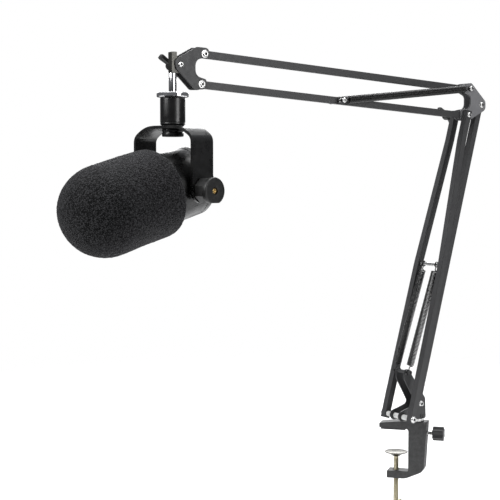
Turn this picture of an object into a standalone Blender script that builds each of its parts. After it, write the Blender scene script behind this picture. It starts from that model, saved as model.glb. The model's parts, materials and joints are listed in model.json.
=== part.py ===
"""Broadcast microphone in a foam windscreen, hung from a sprung boom arm with a desk clamp.

Units are metres and +Z is up.  The origin lies on the upper jaw's contact face, over the clamp
screw.  The desk enters from the -X side.  The arm stands on a swivel post at +X and is built in its own
frame, whose X axis points away from the microphone and whose Y axis runs along every arm pivot.
"""
import math

import bmesh
import bpy
from mathutils import Matrix, Vector

MM = 0.001
GAP = 0.35 * MM

# ---- clamp ---------------------------------------------------------------------------------
JAW_REACH = 18.2 * MM            # jaw tip to screw axis
WALL_INNER_X = 15.3 * MM
WALL_OUTER_X = 36.2 * MM
CLAMP_WIDTH = 17 * MM
CLAMP_TOP = 10.4 * MM
JAW_PAD_THICK = 1.5 * MM
LOWER_JAW_TOP = -47 * MM
LOWER_JAW_BOTTOM = -55.5 * MM
SCREW_RADIUS = 3 * MM
SCREW_BOTTOM = -97 * MM
PAD_TOP = -26 * MM
PAD_RADIUS = 13.2 * MM
TOMMY_Z = -90 * MM
LOCK_Z = -3 * MM
POST_X = 24 * MM
POST_RADIUS = 3.5 * MM

# ---- arm -----------------------------------------------------------------------------------
SWIVEL = math.radians(51)      # how far the arm is turned on its post
BAR = 7.2 * MM
BAR_WALL = 1.0 * MM
PLATE = 1.6 * MM
PLATE_Y = 4.8 * MM             # centre of each elbow and head plate
BASE_PLATE_Y = 7 * MM
SPREAD_NEAR = 23 * MM         # front bars at the base
SPREAD_FAR = 21.2 * MM
LINK_CLOSE = 10 * MM           # front bars at the elbow
SPRING_Y = 10.7 * MM
SPRING_RADIUS = 4.2 * MM
BOLT_RADIUS = 2 * MM
BIG_HEAD = 3.9 * MM
BEND_IN = 2 * MM               # how far the front bars have closed in at the cross pin

P1 = Vector((-28.5, 19)) * MM            # front base pivot (X, Z)
OFFSET = Vector((27, 12.4)) * MM       # front pivot to rear pivot, the same at both ends
LINK = Vector((90.4, 338.3)) * MM      # base pivot to elbow pivot
P2 = P1 + OFFSET
Q1 = P1 + LINK
Q2 = Q1 + OFFSET
RISE = Vector((3.5, 30)) * MM          # lower bar pivot to upper bar pivot
UPPER_LENGTH = 350 * MM
UPPER_ANGLE = math.radians(3.5)
UPPER = Vector((-math.cos(UPPER_ANGLE), math.sin(UPPER_ANGLE))) * UPPER_LENGTH
TU = Q1 + RISE
HL = Q1 + UPPER
HU = HL + RISE
EAR = P1 + Vector((5.5, 50)) * MM
CROSS = P1 + LINK * 0.5
SPRING_PIN = Q1 + UPPER * 0.51

# ---- stem, yoke and microphone ---------------------------------------------------------------
NOSE = HL + Vector((-24.5, 18.3)) * MM  # tilt pivot of the stem
STEM_X = NOSE.x - 6 * MM               # the stem hangs beside its pivot
MIC_YAW = math.radians(64)             # heading of the microphone, measured like SWIVEL
MIC_TILT = math.radians(14.5)           # how far the nose points down
PIVOT_Z = NOSE.y - 123.3 * MM          # height of the yoke's own pivot
YOKE_HALF = 42.6 * MM
YOKE_THICK = 3 * MM
YOKE_WIDTH = 27.5 * MM
YOKE_TOP = PIVOT_Z + 63.5 * MM
AXIS_RISE = 4.2 * MM                   # microphone's axis above the yoke's pivots
BODY_RADIUS = 35 * MM
BODY_REAR = -26 * MM
BODY_FRONT = 20 * MM
BASKET_FRONT = 105 * MM
FOAM_REAR = 20.5 * MM
FOAM_FRONT = 134.7 * MM
FOAM_RADIUS = 44.3 * MM
KNOB_RADIUS = 12.2 * MM
KNOB_OUTER_Y = 59.5 * MM

for old in list(bpy.data.objects):
    bpy.data.objects.remove(old, do_unlink=True)

PARTS = bpy.data.collections.new("boom_microphone")
CUTTERS = bpy.data.collections.new("cutters")
for group in (PARTS, CUTTERS):
    bpy.context.scene.collection.children.link(group)


def material(name, colour, roughness, metallic=0.0):
    made = bpy.data.materials.new(name)
    made.use_nodes = True
    shader = made.node_tree.nodes["Principled BSDF"]
    shader.inputs["Base Color"].default_value = (*colour, 1)
    shader.inputs["Roughness"].default_value = roughness
    shader.inputs["Metallic"].default_value = metallic
    return made


FINISHES = {
    "coat": ((0.055, 0.055, 0.057), 0.5, 0.3),
    "cast": ((0.035, 0.035, 0.037), 0.6, 0.2),
    "satin": ((0.010, 0.010, 0.011), 0.35, 0.0),
    "plastic": ((0.012, 0.012, 0.013), 0.45, 0.0),
    "steel": ((0.62, 0.62, 0.60), 0.3, 1.0),
    "chrome": ((0.80, 0.80, 0.80), 0.08, 1.0),
    "spring": ((0.020, 0.020, 0.021), 0.4, 0.6),
    "nylon": ((0.75, 0.74, 0.70), 0.5, 0.0),
    "rubber": ((0.020, 0.020, 0.020), 0.8, 0.0),
    "brass": ((0.62, 0.44, 0.18), 0.3, 1.0),
    "foam": ((0.030, 0.030, 0.032), 1.0, 0.0),
    "board": ((0.02, 0.15, 0.06), 0.5, 0.0),
}


def place(obj, finish, parent=None, location=(0, 0, 0), rotation=(0, 0, 0)):
    """Put a finished object in the parts collection under its parent."""
    PARTS.objects.link(obj)
    obj.data.materials.append(material(obj.name, *FINISHES[finish]))
    obj.parent = parent
    obj.location = location
    obj.rotation_euler = rotation
    return obj


def empty(name, parent=None, location=(0, 0, 0), rotation=(0, 0, 0)):
    obj = bpy.data.objects.new(name, None)
    bpy.context.scene.collection.objects.link(obj)
    obj.parent = parent
    obj.location = location
    obj.rotation_euler = rotation
    return obj


def from_bmesh(name, bm, finish, **where):
    mesh = bpy.data.meshes.new(name)
    bm.to_mesh(mesh)
    bm.free()
    return place(bpy.data.objects.new(name, mesh), finish, **where)


def turned(name, profile, finish, steps=20, ring=False, **where):
    """Turn a profile of (radius, height) points, listed from the top down its outer side."""
    bm = bmesh.new()
    verts = [bm.verts.new((radius, 0, height)) for radius, height in profile]
    for a, b in zip(verts, verts[1:]):
        bm.edges.new((a, b))
    if ring:
        bm.edges.new((verts[-1], verts[0]))
    obj = from_bmesh(name, bm, finish, **where)
    screw = obj.modifiers.new("turn", "SCREW")
    screw.axis = "Z"
    screw.steps = screw.render_steps = steps
    screw.use_merge_vertices = True
    screw.merge_threshold = 0.00002
    screw.use_smooth_shade = True
    return obj


def rounded(corners, segments=4):
    """Outline through (x, y, radius) corners, each rounded by an arc of its own radius."""
    points = []
    count = len(corners)
    for i, (x, y, radius) in enumerate(corners):
        here = Vector((x, y))
        before = (Vector(corners[i - 1][:2]) - here).normalized()
        after = (Vector(corners[(i + 1) % count][:2]) - here).normalized()
        if radius <= 0:
            points.append(here)
            continue
        half = before.angle(after) / 2
        reach = radius / math.tan(half)
        centre = here + (before + after).normalized() * (radius / math.sin(half))
        start = here + before * reach - centre
        end = here + after * reach - centre
        turn = start.angle_signed(end)
        for k in range(segments + 1):
            points.append(centre + Matrix.Rotation(-turn * k / segments, 2) @ start)
    return points


def circle(centre, radius, count=12):
    return [Vector(centre) + radius * Vector((math.cos(a), math.sin(a)))
            for a in (2 * math.pi * k / count for k in range(count))]


def plate(name, outline, thickness, finish, holes=(), **where):
    """Flat sheet drawn in its local XY plane, with round holes, extruded both ways along Z."""
    curve = bpy.data.curves.new(name, "CURVE")
    curve.dimensions = "2D"
    curve.fill_mode = "BOTH"
    curve.extrude = thickness / 2
    for loop in [outline, *holes]:
        spline = curve.splines.new("POLY")
        spline.points.add(len(loop) - 1)
        for point, place_at in zip(spline.points, loop):
            point.co = (place_at[0], place_at[1], 0, 1)
        spline.use_cyclic_u = True
    drawn = bpy.data.objects.new(name + "_curve", curve)
    CUTTERS.objects.link(drawn)
    mesh = bpy.data.meshes.new_from_object(drawn.evaluated_get(bpy.context.evaluated_depsgraph_get()))
    bpy.data.objects.remove(drawn)
    bm = bmesh.new()
    bm.from_mesh(mesh)
    bmesh.ops.remove_doubles(bm, verts=bm.verts, dist=0.00001)
    bmesh.ops.recalc_face_normals(bm, faces=bm.faces)
    return from_bmesh(name, bm, finish, **where)


def box(name, size, finish, **where):
    bm = bmesh.new()
    bmesh.ops.create_cube(bm, size=1, matrix=Matrix.Diagonal((*size, 1)))
    return from_bmesh(name, bm, finish, **where)


def as_tool(obj):
    """Keep an object out of the part and only use it to cut or join."""
    CUTTERS.objects.link(obj)
    obj.hide_render = True
    obj.display_type = "WIRE"
    return obj


def cutter(name, radius, length, parent=None, location=(0, 0, 0), rotation=(0, 0, 0)):
    """Round tool whose axis is its local Z."""
    bm = bmesh.new()
    bmesh.ops.create_cone(bm, cap_ends=True, segments=16, radius1=radius, radius2=radius, depth=length)
    mesh = bpy.data.meshes.new(name)
    bm.to_mesh(mesh)
    bm.free()
    obj = bpy.data.objects.new(name, mesh)
    obj.parent = parent
    obj.location = location
    obj.rotation_euler = rotation
    return as_tool(obj)


def combine(target, other, operation="DIFFERENCE"):
    made = target.modifiers.new(other.name, "BOOLEAN")
    made.operation = operation
    made.object = other
    made.solver = "EXACT"


ALONG_Y = (math.radians(-90), 0, 0)       # turns local Z to +Y
UPRIGHT = (math.radians(90), 0, 0)        # stands a drawn plate in the XZ plane


def at(point, y=0.0):
    return (point.x, y, point.y)


def cross_hole(target, name, point, radius=BOLT_RADIUS + GAP, length=80 * MM):
    """Cut a hole along Y through a piece of the arm."""
    combine(target, cutter(name, radius, length, ARM, at(point), ALONG_Y))


def bolt(name, point, near, far, parent, radius=BOLT_RADIUS, head=3.6 * MM, finish="steel"):
    """Bolt along Y from its domed head at -near to its domed nut at +far."""
    rise = 2.2 * MM
    profile = [(0, far + rise), (head * 0.6, far + rise * 0.8), (head, far), (radius, far),
               (radius, -near), (head, -near), (head * 0.6, -near - rise * 0.8), (0, -near - rise)]
    return turned(name, profile, finish, steps=14, parent=parent, location=at(point), rotation=ALONG_Y)


def sleeve(name, point, low, high, inner, outer, finish, parent):
    """Plain ring around an arm pivot, between two stations along Y."""
    profile = [(inner, high), (outer, high), (outer, low), (inner, low)]
    return turned(name, profile, finish, steps=14, ring=True,
                  parent=parent, location=at(point), rotation=ALONG_Y)


def square_tube(name, start, end, finish, sway=(), overrun=5 * MM):
    """Open square tube from one arm pivot past another.

    sway lists (distance along the tube, Y) stations where the tube bends sideways.
    """
    run = end - start
    length = run.length
    low, high = -overrun, length + overrun
    bm = bmesh.new()
    bmesh.ops.create_cube(bm, size=1, matrix=Matrix.Translation((0, 0, (low + high) / 2))
                          @ Matrix.Diagonal((BAR, BAR, high - low, 1)))
    ends = [f for f in bm.faces if abs(f.normal.z) > 0.9]
    bmesh.ops.delete(bm, geom=ends, context="FACES_ONLY")
    for station, _ in sway:
        bmesh.ops.bisect_plane(bm, geom=bm.verts[:] + bm.edges[:] + bm.faces[:],
                               plane_co=(0, 0, station), plane_no=(0, 0, 1))
    if sway:
        for vert in bm.verts:
            vert.co.y += sway_at(sway, vert.co.z)
    lean = math.atan2(run.x, run.y)
    obj = from_bmesh(name, bm, finish, parent=ARM, location=at(start), rotation=(0, lean, 0))
    wall = obj.modifiers.new("wall", "SOLIDIFY")
    wall.thickness = BAR_WALL
    wall.offset = -1
    wall.use_even_offset = True
    return obj


def sway_at(stations, distance):
    """Sideways place of a bent bar at a distance along it."""
    if distance <= stations[0][0]:
        return stations[0][1]
    for (d0, y0), (d1, y1) in zip(stations, stations[1:]):
        if distance <= d1:
            return y0 + (y1 - y0) * (distance - d0) / (d1 - d0)
    return stations[-1][1]


def spring(name, start, end, y, parent):
    """Coil spring's outer form between two anchors, with thin hook ends."""
    run = end - start
    length = run.length
    reach = BOLT_RADIUS + 0.6 * MM
    tail = 8 * MM
    profile = [(0, length - reach), (1 * MM, length - reach), (1 * MM, length - tail + 2 * MM),
               (SPRING_RADIUS, length - tail), (SPRING_RADIUS, tail), (1 * MM, tail - 2 * MM),
               (1 * MM, reach), (0, reach)]
    lean = math.atan2(run.x, run.y)
    return turned(name, profile, "spring", steps=12, parent=parent,
                  location=at(start, y), rotation=(0, lean, 0))


def lobed(radius, lobes, depth, count=36):
    """Outline of a hand knob with round lobes."""
    return [Vector((math.cos(a), math.sin(a))) * (radius - depth * (0.5 - 0.5 * math.cos(lobes * a)))
            for a in (2 * math.pi * k / count for k in range(count))]


# ============================ clamp ===========================================================
def clamp():
    tip, inner, outer = -JAW_REACH, WALL_INNER_X, WALL_OUTER_X
    jaw = JAW_PAD_THICK + GAP
    nub = -9.2 * MM
    corners = [(tip, jaw, 1 * MM), (inner, jaw, 3 * MM), (inner, LOWER_JAW_TOP, 2 * MM),
               (nub, LOWER_JAW_TOP, 0.8 * MM), (nub, LOWER_JAW_BOTTOM, 1 * MM),
               (12 * MM, LOWER_JAW_BOTTOM, 20 * MM), (33 * MM, LOWER_JAW_TOP + 1 * MM, 8 * MM),
               (outer, CLAMP_TOP, 1 * MM), (8 * MM, CLAMP_TOP, 6 * MM), (tip, 7.2 * MM, 1 * MM)]
    body = plate("clamp_body", rounded(corners), CLAMP_WIDTH, "cast", rotation=UPRIGHT)
    combine(body, cutter("post_bore", POST_RADIUS + GAP, 50 * MM, location=(POST_X, 0, 8 * MM)))
    combine(body, cutter("screw_bore", SCREW_RADIUS + GAP, 30 * MM,
                         location=(0, 0, LOWER_JAW_BOTTOM)))
    combine(body, cutter("lock_bore", 2 * MM + GAP, 20 * MM, location=(34 * MM, 0, LOCK_Z),
                         rotation=(0, math.radians(90), 0)))
    box("jaw_pad", (28 * MM, 15 * MM, JAW_PAD_THICK), "rubber",
        location=(-2.5 * MM, 0, JAW_PAD_THICK / 2))

    thread = SCREW_RADIUS
    screw = turned("clamp_screw", [
        (0, PAD_TOP - 3.2 * MM), (2.4 * MM, PAD_TOP - 3.2 * MM), (2.4 * MM, PAD_TOP - 6 * MM),
        (thread, PAD_TOP - 7 * MM), (thread, TOMMY_Z + 7 * MM), (5 * MM, TOMMY_Z + 5.5 * MM),
        (5 * MM, SCREW_BOTTOM + 0.8 * MM), (4.2 * MM, SCREW_BOTTOM), (0, SCREW_BOTTOM)], "steel", steps=16)
    combine(screw, cutter("tommy_hole", 2 * MM + GAP, 16 * MM, location=(0, 0, TOMMY_Z),
                          rotation=(math.radians(90), 0, 0)))
    bore = 2.4 * MM + GAP
    turned("clamp_pad", [
        (0, PAD_TOP), (PAD_RADIUS - 0.6 * MM, PAD_TOP), (PAD_RADIUS, PAD_TOP - 0.6 * MM),
        (PAD_RADIUS, PAD_TOP - 1.3 * MM), (9.2 * MM, PAD_TOP - 2 * MM), (4.6 * MM, PAD_TOP - 5.4 * MM),
        (bore, PAD_TOP - 5.4 * MM), (bore, PAD_TOP - 2.8 * MM), (0, PAD_TOP - 2.8 * MM)],
        "chrome", steps=24)
    half = 24 * MM
    ball = 3.4 * MM
    turned("tommy_bar", [
        (0, half + 1.5 * MM), (ball * 0.8, half + 0.6 * MM), (ball, half - 1.5 * MM),
        (2 * MM, half - 4 * MM), (2 * MM, -half + 4 * MM), (ball, -half + 1.5 * MM),
        (ball * 0.8, -half - 0.6 * MM), (0, -half - 1.5 * MM)], "steel", steps=14,
        location=(0, 0, TOMMY_Z), rotation=ALONG_Y)

    tip_x = POST_X + POST_RADIUS + GAP
    hub = 42 * MM
    lock = empty("lock_axis", location=(0, 0, LOCK_Z), rotation=(0, math.radians(90), 0))
    turned("lock_screw", [(0, hub - GAP), (2 * MM, hub - GAP), (2 * MM, tip_x), (0, tip_x)],
           "steel", steps=12, parent=lock)
    plate("lock_knob", lobed(8.2 * MM, 6, 2.2 * MM), 12.5 * MM, "plastic",
          parent=lock, location=(0, 0, hub + 6.25 * MM))


# ============================ arm base ========================================================
def arm_base():
    foot = CLAMP_TOP + GAP
    post = turned("swivel_post", [
        (0, 21.6 * MM), (5.0 * MM, 21.6 * MM), (5.6 * MM, 21 * MM), (5.6 * MM, foot + 3 * MM),
        (7.5 * MM, foot + 3 * MM), (7.5 * MM, foot), (POST_RADIUS, foot), (POST_RADIUS, -16 * MM),
        (0, -16 * MM)], "steel", steps=20, parent=ARM)
    rivet_at = Vector((0, 17 * MM))
    cross_hole(post, "hub_hole", rivet_at, length=30 * MM)

    reach = 5 * MM
    low = foot + 3.4 * MM
    tip = 3 * MM
    corners = [(P1.x - reach, P1.y - reach, 4.5 * MM), (P1.x + reach, P1.y - reach, 3 * MM),
               (-9 * MM, low, 6 * MM), (P2.x + 7.5 * MM, low, 2 * MM),
               (P2.x + 6.5 * MM, P2.y + 6 * MM, 5 * MM), (EAR.x + tip, EAR.y + tip, 2.5 * MM),
               (EAR.x - tip, EAR.y + tip, 2.5 * MM), (EAR.x - tip, EAR.y - 8 * MM, 4 * MM),
               (-8.5 * MM, 31.5 * MM, 4 * MM), (P1.x - reach, P1.y + reach, 4 * MM)]
    hole = BOLT_RADIUS + GAP
    holes = [circle(p, hole) for p in (P1, P2, EAR, rivet_at)]
    for side, y in (("near", -BASE_PLATE_Y), ("far", BASE_PLATE_Y)):
        plate("base_plate_" + side, rounded(corners), PLATE, "coat", holes,
              parent=ARM, location=(0, y, 0), rotation=UPRIGHT)
    face = BASE_PLATE_Y + PLATE / 2
    bolt("hub_rivet", rivet_at, face + GAP, face + GAP, ARM, head=3 * MM)
    bolt("base_rear_bolt", P2, face + GAP, face + GAP, ARM)
    spring_side = SPRING_Y + 3 * MM
    bolt("ear_pin", EAR, spring_side, spring_side, ARM, head=2.8 * MM)

    half_bar = BAR / 2 + GAP
    bolt("base_axle", P1, SPREAD_NEAR + half_bar, SPREAD_FAR + half_bar, ARM, head=BIG_HEAD)
    for label, low_y, high_y in (("mid", -BASE_PLATE_Y + PLATE / 2 + GAP, BASE_PLATE_Y - PLATE / 2 - GAP),
                                 ("near", -SPREAD_NEAR + half_bar, -face - GAP),
                                 ("far", face + GAP, SPREAD_FAR - half_bar)):
        sleeve("base_spacer_" + label, P1, low_y, high_y, hole, 3 * MM, "nylon", ARM)


# ============================ lower arm =======================================================
def lower_arm():
    half_way = (CROSS - P1).length
    for side, sign, spread in (("near", -1, SPREAD_NEAR), ("far", 1, SPREAD_FAR)):
        sway = [(20 * MM, sign * spread), (half_way, sign * (spread - BEND_IN)),
                (LINK.length - 30 * MM, sign * LINK_CLOSE)]
        bar = square_tube("front_bar_" + side, P1, Q1, "coat", sway)
        for label, point in (("base", P1), ("elbow", Q1)):
            cross_hole(bar, f"front_{side}_{label}_hole", point)
        cross_hole(bar, f"front_{side}_cross_hole", CROSS, length=2 * (spread - BEND_IN))
    rear = square_tube("rear_bar", P2, Q2, "coat")
    for label, point in (("base", P2), ("elbow", Q2)):
        cross_hole(rear, f"rear_{label}_hole", point)
    inside = BEND_IN + 1.5 * MM            # both ends stop inside the hollow bars
    bolt("cross_pin", CROSS, SPREAD_NEAR - inside, SPREAD_FAR - inside, ARM, head=2.3 * MM)
    for side, y in (("near", -SPRING_Y), ("far", SPRING_Y)):
        spring("lower_spring_" + side, EAR, CROSS, y, ARM)


# ============================ elbow ===========================================================
def elbow():
    corners = [(-5.5, -5.5, 5), (8, -6, 5), (33, 7, 6), (33, 16.5, 5), (11, 37, 4),
               (-2.5, 35.5, 4), (-2.5, 27, 1.5), (9.5, 22, 5), (9.5, 8.5, 6), (-5.5, 5.5, 1.5)]
    outline = rounded([(Q1.x + x * MM, Q1.y + z * MM, r * MM) for x, z, r in corners])
    holes = [circle(p, BOLT_RADIUS + GAP) for p in (Q1, Q2, TU)]
    for side, y in (("near", -PLATE_Y), ("far", PLATE_Y)):
        plate("elbow_plate_" + side, outline, PLATE, "coat", holes,
              parent=ARM, location=(0, y, 0), rotation=UPRIGHT)
    face = PLATE_Y + PLATE / 2 + GAP
    outer = LINK_CLOSE + BAR / 2 + GAP
    bolt("elbow_front_bolt", Q1, outer, outer + 1.5 * MM, ARM, head=3.2 * MM)
    bolt("elbow_rear_bolt", Q2, face, face, ARM, head=BIG_HEAD)
    bolt("elbow_top_bolt", TU, SPRING_Y + 3 * MM, SPRING_Y + 3 * MM, ARM, head=2.8 * MM)

    wing_knob("elbow_wing_knob", at(Q1, outer + 1.5 * MM + 2.2 * MM + GAP), 35)


def wing_knob(name, where, turn):
    """Hub with one flat blade on each side, turned about its own axis along Y."""
    reach, root, tip = 15 * MM, 3 * MM, 12.5 * MM
    hub = turned(name, [
        (0, 10 * MM), (3.6 * MM, 10 * MM), (4.4 * MM, 8.5 * MM), (5 * MM, 0.8 * MM), (4.2 * MM, 0), (0, 0)],
        "plastic", steps=16, parent=ARM, location=where,
        rotation=(math.radians(-90), math.radians(turn), 0))
    outline = [(-reach, root, 1.5 * MM), (-5 * MM, 1 * MM, 3 * MM), (5 * MM, 1 * MM, 3 * MM),
               (reach, root, 1.5 * MM), (reach, tip, 3 * MM), (5 * MM, 8 * MM, 4 * MM),
               (-5 * MM, 8 * MM, 4 * MM), (-reach, tip, 3 * MM)]
    blade = plate(name + "_blade", rounded(outline), 3.4 * MM, "plastic", parent=hub, rotation=UPRIGHT)
    PARTS.objects.unlink(blade)
    combine(hub, as_tool(blade), "UNION")


# ============================ upper arm =======================================================
def upper_arm():
    top = square_tube("upper_bar_top", TU, HU, "coat")
    bottom = square_tube("upper_bar_bottom", Q1, HL, "coat")
    for bar, label, points in ((top, "top", (TU, HU)), (bottom, "bottom", (Q1, HL, SPRING_PIN))):
        for k, point in enumerate(points):
            cross_hole(bar, f"upper_{label}_hole_{k}", point)
    reach = SPRING_Y + 3 * MM
    bolt("upper_spring_pin", SPRING_PIN, reach, reach, ARM, head=2.8 * MM)
    for side, y in (("near", -SPRING_Y), ("far", SPRING_Y)):
        spring("upper_spring_" + side, SPRING_PIN, TU, y, ARM)


# ============================ head ============================================================
def head():
    corners = [(5, -5, 4.5), (-8.5, -5.5, 3.5), (-29.8, 14.5, 5), (-30.8, 23, 5), (-6, 36.5, 4),
               (8.5, 36, 4.5), (8.5, 27, 2.5), (-7.5, 24, 7), (-7.5, 8, 7), (5, 5, 2)]
    outline = rounded([(HL.x + x * MM, HL.y + z * MM, r * MM) for x, z, r in corners])
    holes = [circle(p, BOLT_RADIUS + GAP) for p in (HL, HU, NOSE)]
    for side, y in (("near", -PLATE_Y), ("far", PLATE_Y)):
        plate("head_plate_" + side, outline, PLATE, "coat", holes,
              parent=ARM, location=(0, y, 0), rotation=UPRIGHT)
    face = PLATE_Y + PLATE / 2 + GAP
    bolt("head_lower_bolt", HL, face, face, ARM, head=BIG_HEAD)
    bolt("head_upper_bolt", HU, face, face, ARM, head=BIG_HEAD)
    bolt("nose_bolt", NOSE, face, face, ARM, head=2.8 * MM)
    thick = 2 * (PLATE_Y - PLATE / 2 - GAP)
    block = [(-8.8, -8, 1), (6, -8, 2), (6, 5.5, 3), (-3, 6.5, 2), (-3, 12.4, 0.8), (-8.8, 12.4, 0.8)]
    knuckle = plate("stem_knuckle", rounded([(NOSE.x + x * MM, NOSE.y + z * MM, r * MM)
                                             for x, z, r in block]),
                    thick, "coat", parent=ARM, rotation=UPRIGHT)
    cross_hole(knuckle, "knuckle_hole", NOSE, length=30 * MM)
    wing_knob("tilt_knob", at(NOSE, face + 2.2 * MM + GAP), 40)


# ============================ stem, yoke and collar ===========================================
def hanger():
    """Stem, flange, collar and yoke, all on the vertical line under the tilt pivot."""
    stem_top, flange_top, collar_top = (NOSE.y - drop * MM for drop in (8.3, 27.3, 32.3))
    flange_low, collar_low = flange_top - 4.6 * MM, YOKE_TOP + GAP
    turned("stem", [(0, stem_top), (3.9 * MM, stem_top), (3.9 * MM, flange_top + GAP),
                    (0, flange_top + GAP)], "chrome", steps=20, parent=MIC)
    turned("flange_nut", [
        (0, flange_top), (15.2 * MM, flange_top), (15.8 * MM, flange_top - 0.8 * MM),
        (15.8 * MM, flange_low + 0.8 * MM), (15.2 * MM, flange_low), (0, flange_low)],
        "chrome", steps=28, parent=MIC)
    turned("collar", [
        (0, collar_top), (11.8 * MM, collar_top), (12.4 * MM, collar_top - 0.8 * MM),
        (12.4 * MM, collar_low + 1.2 * MM), (11.4 * MM, collar_low), (0, collar_low)],
        "satin", steps=28, parent=MIC)

    inner = YOKE_HALF - YOKE_THICK
    end = PIVOT_Z - 12 * MM
    top_inner = YOKE_TOP - YOKE_THICK
    shoulder, crown = 11 * MM, 26 * MM     # the strap slopes from the crown down to the shoulder
    slope = math.atan2(shoulder, YOKE_HALF - crown)
    drop = YOKE_THICK * math.tan(math.radians(45) - slope / 2)
    shift = YOKE_THICK * math.tan(slope / 2)
    corners = [(YOKE_HALF, end, 0), (YOKE_HALF, YOKE_TOP - shoulder, 10 * MM), (crown, YOKE_TOP, 40 * MM),
               (-crown, YOKE_TOP, 40 * MM), (-YOKE_HALF, YOKE_TOP - shoulder, 10 * MM),
               (-YOKE_HALF, end, 0), (-inner, end, 0), (-inner, YOKE_TOP - shoulder - drop, 7 * MM),
               (-crown + shift, top_inner, 37 * MM), (crown - shift, top_inner, 37 * MM),
               (inner, YOKE_TOP - shoulder - drop, 7 * MM), (inner, end, 0)]
    stand_across = (math.radians(90), 0, math.radians(90))
    yoke = plate("yoke", rounded(corners, segments=5), YOKE_WIDTH, "satin", parent=MIC,
                 rotation=stand_across)
    tips = [e for e in yoke.data.edges if is_tip_edge(yoke.data, e, end)]
    round_edges(yoke.data, [e.index for e in tips], 12 * MM)
    combine(yoke, cutter("yoke_top_hole", 4 * MM + GAP, 12 * MM, MIC, (0, 0, YOKE_TOP)))
    for side, sign in (("near", -1), ("far", 1)):
        combine(yoke, cutter(f"yoke_{side}_hole", 3 * MM + GAP, 12 * MM, MIC,
                             (0, sign * (YOKE_HALF - YOKE_THICK / 2), PIVOT_Z), ALONG_Y))
    neck = top_inner - GAP
    turned("yoke_nut", [
        (0, YOKE_TOP), (4 * MM, YOKE_TOP), (4 * MM, neck), (10.7 * MM, neck),
        (10.7 * MM, neck - 6.8 * MM), (10 * MM, neck - 7.4 * MM), (0, neck - 7.4 * MM)],
        "satin", steps=24, parent=MIC)

    for side, sign in (("near", -1), ("far", 1)):
        hinge = empty("pivot_" + side, MIC, (0, 0, PIVOT_Z), (math.radians(-90 * sign), 0, 0))
        inside = YOKE_HALF - YOKE_THICK - GAP
        seat = BODY_RADIUS + GAP
        turned("pivot_spacer_" + side, [
            (3 * MM + GAP, inside), (9 * MM, inside), (9 * MM, seat), (3 * MM + GAP, seat)],
            "plastic", steps=18, ring=True, parent=hinge)
        face = KNOB_OUTER_Y
        recess = 3 * MM
        turned("pivot_knob_" + side, [
            (3.4 * MM, face - recess), (3.4 * MM, face), (KNOB_RADIUS - 1.2 * MM, face),
            (KNOB_RADIUS, face - 1.2 * MM), (KNOB_RADIUS - 0.6 * MM, YOKE_HALF + 1.4 * MM),
            (KNOB_RADIUS - 1.6 * MM, YOKE_HALF + GAP), (3 * MM + GAP, YOKE_HALF + GAP),
            (3 * MM + GAP, face - recess - 0.5 * MM)], "satin", steps=24, ring=True, parent=hinge)
        turned("pivot_screw_" + side, [
            (0, face - 0.8 * MM), (2.4 * MM, face - 0.8 * MM), (2.9 * MM, face - 1.4 * MM),
            (2.9 * MM, 31 * MM), (0, 31 * MM)], "brass", steps=14, parent=hinge)


def is_tip_edge(mesh, edge, low):
    """True for the short edges across the strap's thickness at its two lower ends."""
    a, b = (mesh.vertices[i].co for i in edge.vertices)
    same_depth = abs(a.z - b.z) < 1e-6
    return same_depth and abs(a.y - low) < 1e-6 and abs(b.y - low) < 1e-6


def round_edges(mesh, indices, radius):
    bm = bmesh.new()
    bm.from_mesh(mesh)
    bm.edges.ensure_lookup_table()
    bmesh.ops.bevel(bm, geom=[bm.edges[i] for i in indices], offset=radius, segments=5,
                    profile=0.5, affect="EDGES")
    bm.to_mesh(mesh)
    bm.free()


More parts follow.
